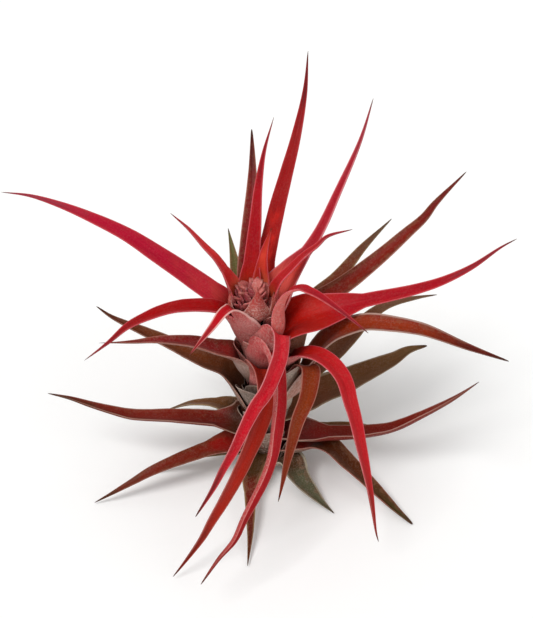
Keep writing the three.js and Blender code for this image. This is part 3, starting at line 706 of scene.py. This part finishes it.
# Sheath scales: the short bases of old and unfolding leaves, set in a spiral that hides the stem. Each is
# thin, cupped and blunt, silver to rose with scurf, and its rim has dried to a pale papery edge.
SCALE_ROWS = 12
SCALE_SIDES = 20
SCALE_SHOULDER = 0.4
SCALE_TIP = 0.05
SHEATH_FLESH = 1.1


def scale_mesh(wide, tall, hug, point, flesh):
    """One cupped scale as a closed shell. Its foot is at the origin and its outside faces -Y, and the rims
    bend back round a stem. The point is 0.5 for a round end and more for a drawn-out one."""
    skin = bmesh.new()
    rows = []
    place, place_mm, rim_mm = [], [], []
    for i in range(SCALE_ROWS):
        rise = math.sin(math.pi / 2 * i / (SCALE_ROWS - 1))
        above = max(0, (rise - SCALE_SHOULDER) / (1 - SCALE_SHOULDER))
        spread = 0.75 + 0.25 * min(1, rise / SCALE_SHOULDER)
        half = wide / 2 * spread * (1 - above ** 2) ** point + SCALE_TIP
        row = []
        for j in range(SCALE_SIDES):
            turn = math.tau * j / SCALE_SIDES
            across, upper = math.cos(turn), math.sin(turn)
            bend = half * across / hug
            radius = hug - upper * flesh / 2 * (1 - 0.6 * rise)
            row.append(skin.verts.new((radius * math.sin(bend), hug - radius * math.cos(bend) - rise ** 2,
                                       tall * rise)))
            place.append((math.copysign(max(abs(across), above ** 3), across), 0.2, upper))
            place_mm.append((half * across, tall * rise, 0))
            rim_mm.append(min(half * (1 - abs(across)), tall * (1 - rise)))
        rows.append(row)
    for low, high in zip(rows, rows[1:]):
        for j in range(SCALE_SIDES):
            k = (j + 1) % SCALE_SIDES
            skin.faces.new((low[j], low[k], high[k], high[j]))
    skin.faces.new(rows[0])
    skin.faces.new(rows[-1])
    bmesh.ops.recalc_face_normals(skin, faces=skin.faces)
    mesh = bpy.data.meshes.new("scale")
    skin.to_mesh(mesh)
    for name, values, kind, key in (("leaf_place", place, "FLOAT_VECTOR", "vector"),
                                    ("leaf_mm", place_mm, "FLOAT_VECTOR", "vector"),
                                    ("rim_mm", rim_mm, "FLOAT", "value"),
                                    ("clasp", [1] * len(rim_mm), "FLOAT", "value")):
        mark = mesh.attributes.new(name, kind, "POINT")
        for spot, value in zip(mark.data, values):
            setattr(spot, key, value)
    mesh.shade_smooth()
    return mesh


# The tree sets a scale in a spiral round an axis, and narrows the spiral as it rises
SPIRAL_SIZES = {
    "Radius": 6, "Narrowing": 0, "Lean Out": 12, "Lean Spread": 6, "Spin": 12, "Smallest": 0.85,
    "Largest": 1.15, "Seed": 0,
}


def spiral_tree():
    tree, given = new_tree("Scales in a spiral", "GeometryNodeTree", {"Scales": "Geometry"},
                           {"Scale": "Object", "Skin": "Material", "Foot": "Vector", "Axis": "Vector",
                            "Count": "Int"}, SPIRAL_SIZES)

    # Places: a golden-angle spiral, with each point a little higher than the last
    spots = add(tree, "GeometryNodeMeshLine", {"Count": given["Count"]})
    index = add(tree, "GeometryNodeInputIndex")
    share = add(tree, "Math", {0: index, 1: given["Count"]}, operation="DIVIDE")
    turn = add(tree, "Math", {0: index, 1: math.radians(137.5)}, operation="MULTIPLY")
    loss = add(tree, "FloatCurve", {"Value": share}, points=[(0, 0), (0.4, 0.1), (0.8, 0.5), (1, 0.9)])
    loss = add(tree, "Math", {0: loss, 1: given["Narrowing"]}, operation="MULTIPLY")
    shape = add(tree, "Math", {0: 1, 1: loss}, operation="SUBTRACT")
    radius = add(tree, "Math", {0: given["Radius"], 1: shape}, operation="MULTIPLY")
    cosine = add(tree, "Math", {0: turn}, operation="COSINE")
    sine = add(tree, "Math", {0: turn}, operation="SINE")
    ring = add(tree, "CombineXYZ", {0: cosine, 1: sine})
    ring = add(tree, "VectorMath", {0: ring, "Scale": radius}, operation="SCALE")
    place = add(tree, "VectorMath", {0: given["Axis"], "Scale": share}, operation="SCALE")
    place = add(tree, "VectorMath", {0: place, 1: ring}, operation="ADD")
    place = add(tree, "VectorMath", {0: place, 1: given["Foot"]}, operation="ADD")
    spots = add(tree, "GeometryNodeSetPosition", {"Geometry": spots, "Position": place})

    # Scales: each faces out, leans out, and is a little larger or smaller than the next
    least = add(tree, "Math", {0: given["Lean Spread"], 1: -1}, operation="MULTIPLY")
    jitter = add(tree, "FunctionNodeRandomValue",
                 {2: least, 3: given["Lean Spread"], "Seed": given["Seed"]}, out=1)
    lean = add(tree, "Math", {0: given["Lean Out"], 1: shape, 2: jitter}, operation="MULTIPLY_ADD")
    lean = add(tree, "Math", {0: lean}, operation="RADIANS")
    spin = add(tree, "FunctionNodeRandomValue", {2: -1.0, 3: 1.0, "Seed": given["Seed"], "ID": 7}, out=1)
    spin = add(tree, "Math", {0: given["Spin"], 1: spin}, operation="MULTIPLY")
    spin = add(tree, "Math", {0: spin}, operation="RADIANS")
    facing = add(tree, "Math", {0: turn, 1: math.pi / 2}, operation="ADD")
    facing = add(tree, "Math", {0: facing, 1: spin}, operation="ADD")
    rotation = add(tree, "CombineXYZ", {0: lean, 2: facing})
    size = add(tree, "FunctionNodeRandomValue",
               {2: given["Smallest"], 3: given["Largest"], "Seed": given["Seed"]}, out=1)
    scale = add(tree, "GeometryNodeObjectInfo", {"Object": given["Scale"]}, out="Geometry")
    scales = add(tree, "GeometryNodeInstanceOnPoints",
                 {"Points": spots, "Instance": scale, "Rotation": rotation, "Scale": size})
    tint = add(tree, "FunctionNodeRandomValue", {2: 0.0, 3: 1.0, "Seed": given["Seed"]}, out=1)
    scales = add(tree, "GeometryNodeStoreNamedAttribute",
                 {"Geometry": scales, "Name": "tint", "Value": tint}, data_type="FLOAT", domain="INSTANCE")
    scales = add(tree, "GeometryNodeRealizeInstances", {"Geometry": scales})

    # Each scale takes its own part of the skin's pattern
    tint = add(tree, "GeometryNodeInputNamedAttribute", {"Name": "tint"}, data_type="FLOAT")
    shift = add(tree, "Math", {0: tint, 1: 40}, operation="MULTIPLY")
    spot_mm = add(tree, "GeometryNodeInputNamedAttribute", {"Name": "leaf_mm"}, data_type="FLOAT_VECTOR")
    spot_mm = add(tree, "VectorMath",
                  {0: spot_mm, 1: add(tree, "CombineXYZ", {2: shift})}, operation="ADD")
    scales = add(tree, "GeometryNodeStoreNamedAttribute",
                 {"Geometry": scales, "Name": "leaf_mm", "Value": spot_mm}, data_type="FLOAT_VECTOR",
                 domain="POINT")
    scales = add(tree, "GeometryNodeTransform", {"Geometry": scales, "Scale": (MM, MM, MM)})
    scales = add(tree, "GeometryNodeSetMaterial", {"Geometry": scales, "Material": given["Skin"]})
    add(tree, "NodeGroupOutput", {0: scales}, out=None)
    return tree


SPIRAL_TREE = spiral_tree()


def pack_scales(name, scale, skin, foot, axis, count, **sizes):
    """A mesh object of many copies of one scale, set in a spiral by the tree."""
    form = new_object("scale_form", scale)
    scales = new_object(name, bpy.data.meshes.new(name))
    sizes = {key: float(size) for key, size in sizes.items()}
    run_tree(scales, SPIRAL_TREE, dict(sizes, scale=form, skin=skin, foot=foot, axis=axis, count=count))
    bpy.data.objects.remove(form)
    return scales


def set_sheath(name, look, foot, facing, lean, wide, tall):
    """A single scale with its foot at a point in mm. It faces a way round the stem and leans out, both in
    degrees."""
    mesh = scale_mesh(wide, tall, 0.5 * wide, 0.5, SHEATH_FLESH)
    turn = Matrix.Rotation(math.radians(facing + 90), 4, "Z") @ Matrix.Rotation(math.radians(lean), 4, "X")
    mesh.transform(Matrix.Scale(MM, 4) @ Matrix.Translation(STEM_FOOT + Vector(foot)) @ turn)
    mesh.materials.append(leaf_skin(name.replace("_", " "), look))
    return set_piece(new_object(name, mesh))


# Painted shade: in these looks, and in those of the single sheaths below, the foot tone darkens each
# scale's outside towards the stem.
SILVER = dict(OLIVE, inner="#3E2A20", sheath="#967C6E", foot="#5A4436", rim="#98867A", rim_width=0.6,
              under_scurf=0.9)
ROSY = dict(RED, inner="#5E2420", sheath="#B8685E", foot="#8A463E", rim="#C88C84", rim_width=0.7,
            under_scurf=0.7)
low_scales = pack_scales("sheaths_low", scale_mesh(16, 21, 8, 0.5, SHEATH_FLESH),
                         leaf_skin("low sheaths", SILVER), STEM_FOOT + Vector((0, 0, 3)),
                         STEM_LEAN * 0.5 + Vector((0, 0, 38)), 17, seed=3)
set_piece(low_scales)
high_scales = pack_scales("sheaths_high", scale_mesh(15, 19, 7.5, 0.5, SHEATH_FLESH),
                          leaf_skin("high sheaths", ROSY),
                          STEM_FOOT + STEM_LEAN * 0.5 + Vector((0, 0, 44)),
                          STEM_LEAN * 0.3 + Vector((0, 0, 25)), 10, radius=6, seed=5)
set_piece(high_scales)
set_sheath("sheath_right_silver",
           dict(SILVER, sheath="#C0B2A4", foot="#A89A8C", rim="#C0B4A8"),
           (7, -9, 40), -50, 12, 17, 32)
set_sheath("sheath_front_rose", dict(ROSY, sheath="#C0524A", foot="#A04038"),
           (1, -7, 79), -85, 6, 9, 15)
# Its outside is set lighter than its own brown: painted light that lifts the shade of the long red leaf
# above it.
set_sheath("sheath_right_brown",
           dict(SILVER, inner="#6A3A20", sheath="#C07C5C", foot="#A8644C", rim="#C08878"),
           (8, 2, 45), -60, 12, 21, 38)
set_sheath("sheath_left_grey",
           dict(SILVER, sheath="#827468", foot="#6E6054", rim="#A8988C"),
           (-7, -7, 38), -125, 22, 15, 22)


# Flower head: a blunt cone of small fleshy rose bracts, packed in a spiral, each with a dry pointed tip.
# The skin is thin and matt, salmon to wine red, and paler where the scurf is thick.
rose, tree, shader = new_finish("Scurfy rose bract", Roughness=0.7)
tint = add(tree, "Attribute", out="Fac", attribute_name="tint")
spot_mm = add(tree, "Attribute", out="Vector", attribute_name="leaf_mm")
rise = add(tree, "SeparateXYZ", {0: spot_mm}, out=1)
grain = add(tree, "TexNoise", {"Vector": spot_mm, "Scale": 1.3, "Detail": 4.0})
dark = add(tree, "MapRange", {0: tint, 1: 0.5, 2: 0.2})
body = add(tree, "MapRange", {0: tint, 1: 0.5, 2: 0.9})
body = add(tree, "Mix", {0: body, 6: paint("#B84E58"), 7: paint("#BE645C")}, **COLOURS)
body = add(tree, "Mix", {0: dark, 6: body, 7: paint("#944044")}, **COLOURS)
# Painted shade: each bract darkens to wine brown over its lowest 3 mm, where the bracts around it shade
# it.
low = add(tree, "MapRange", {0: rise, 1: 3, 2: 0.5}, **SMOOTH)
body = add(tree, "Mix", {0: low, 6: body, 7: paint("#7A302C")}, **COLOURS)
frost = add(tree, "MapRange", {0: grain, 1: 0.5, 2: 0.62, 4: 0.4})
body = add(tree, "Mix", {0: frost, 6: body, 7: paint("#D2A49C")}, **COLOURS)
point = add(tree, "MapRange", {0: rise, 1: 6.2, 2: 7}, **SMOOTH)
body = add(tree, "Mix", {0: point, 6: body, 7: paint("#8E4A40")}, **COLOURS)
wire_finish(tree, shader, body, grain, 0.4, 0.0003)
head = pack_scales("head_bracts", scale_mesh(4.6, 7, 2, 0.8, 2.4), rose, Vector((-2.5, 5, 87.4)),
                   Vector((0, 0, 10.5)), 66, radius=6.8, narrowing=1, lean_out=22, lean_spread=18, spin=95,
                   smallest=0.6, largest=1.15, seed=9)
set_piece(head, "flower_head")


# Large bracts: they wrap the head's foot at the front, right and left. The front one is a flat rhomb,
# broadest in its middle, and all are dull rose with a brown foot and a red tip.
# The foot tone is painted shade on each bract's outside near the stem.
BRACT_LOOK = dict(inner="#7A3A2C", base="#8E4A40", middle="#A0605A", tip="#A83C36", edge="#A8625E",
                  under="#B04440", sheath="#B8625A", foot="#9C5046", rim="#C08A82", rim_width=0.3,
                  scurf=0.3, under_scurf=0.4, mottle=0.2, dry=0.1)
grow_leaf("bract_front", "head_bract", BRACT_LOOK,
          [(-4.6, -8, 87), (-4.8, -10.5, 95), (-4.6, -10, 102), (-4.4, -8, 108)],
          blade_width=3, sheath_width=15, sheath_length=22, wrap=18, fold=12)
grow_leaf("bract_right", "head_bract", dict(BRACT_LOOK, sheath="#9E3A2C", under="#8A2C22"),
          [(0, -6, 88), (2, -7.5, 96), (2, -6, 104)],
          blade_width=3, sheath_width=9, sheath_length=20, wrap=45)
grow_leaf("bract_left", "head_bract", dict(BRACT_LOOK, sheath="#A04A3C"),
          [(-13, -4, 88), (-15.5, -5, 96), (-15.5, -4, 103)],
          blade_width=3, sheath_width=7, sheath_length=18, wrap=45)


# Studio: a pale table, a broad soft light from above and to the left, and a weaker one on the right
table = new_object("table", bpy.data.meshes.new("table"))
table.data.from_pydata([(-4, -4, 0), (4, -4, 0), (4, 4, 0), (-4, 4, 0)], [], [(0, 1, 2, 3)])
matt_white, tree, shader = new_finish("Matt white table", Roughness=0.9)
shader.inputs["Base Color"].default_value = paint("#F8F8F7")
table.data.materials.append(matt_white)


def soft_sun(name, spot, strength, angle):
    """Even light over the whole table from the direction of a point, with shadows as soft as its angle."""
    lamp = new_object(name, bpy.data.lights.new(name, "SUN"))
    lamp.data.energy = strength
    lamp.data.angle = math.radians(angle)
    lamp.rotation_euler = Vector(spot).to_track_quat("Z", "Y").to_euler()


soft_sun("key", (-0.45, -0.35, 0.9), 1.75, 25)
soft_sun("fill", (0.7, -0.5, 0.6), 0.3, 40)
world = bpy.data.worlds.new("pale room")
world.use_nodes = True
world.node_tree.nodes["Background"].inputs["Color"].default_value = paint("#FFFFFF")
world.node_tree.nodes["Background"].inputs["Strength"].default_value = 0.6
bpy.context.scene.world = world
bpy.context.scene.view_settings.view_transform = "Standard"

# Camera: 48 cm away and 40 degrees above the table, aimed a little behind the head
AIM = Vector((3, 49, 53)) * MM
DISTANCE = 0.48
RISE = math.radians(40)
camera = new_object("camera", bpy.data.cameras.new("camera"))
camera.data.sensor_fit = "HORIZONTAL"
camera.data.sensor_width = 36
camera.data.lens = 68.98
camera.data.clip_start = 0.01
camera.location = AIM + DISTANCE * Vector((0, -math.cos(RISE), math.sin(RISE)))
camera.rotation_euler = (math.pi / 2 - RISE, 0, 0)
bpy.context.scene.camera = camera
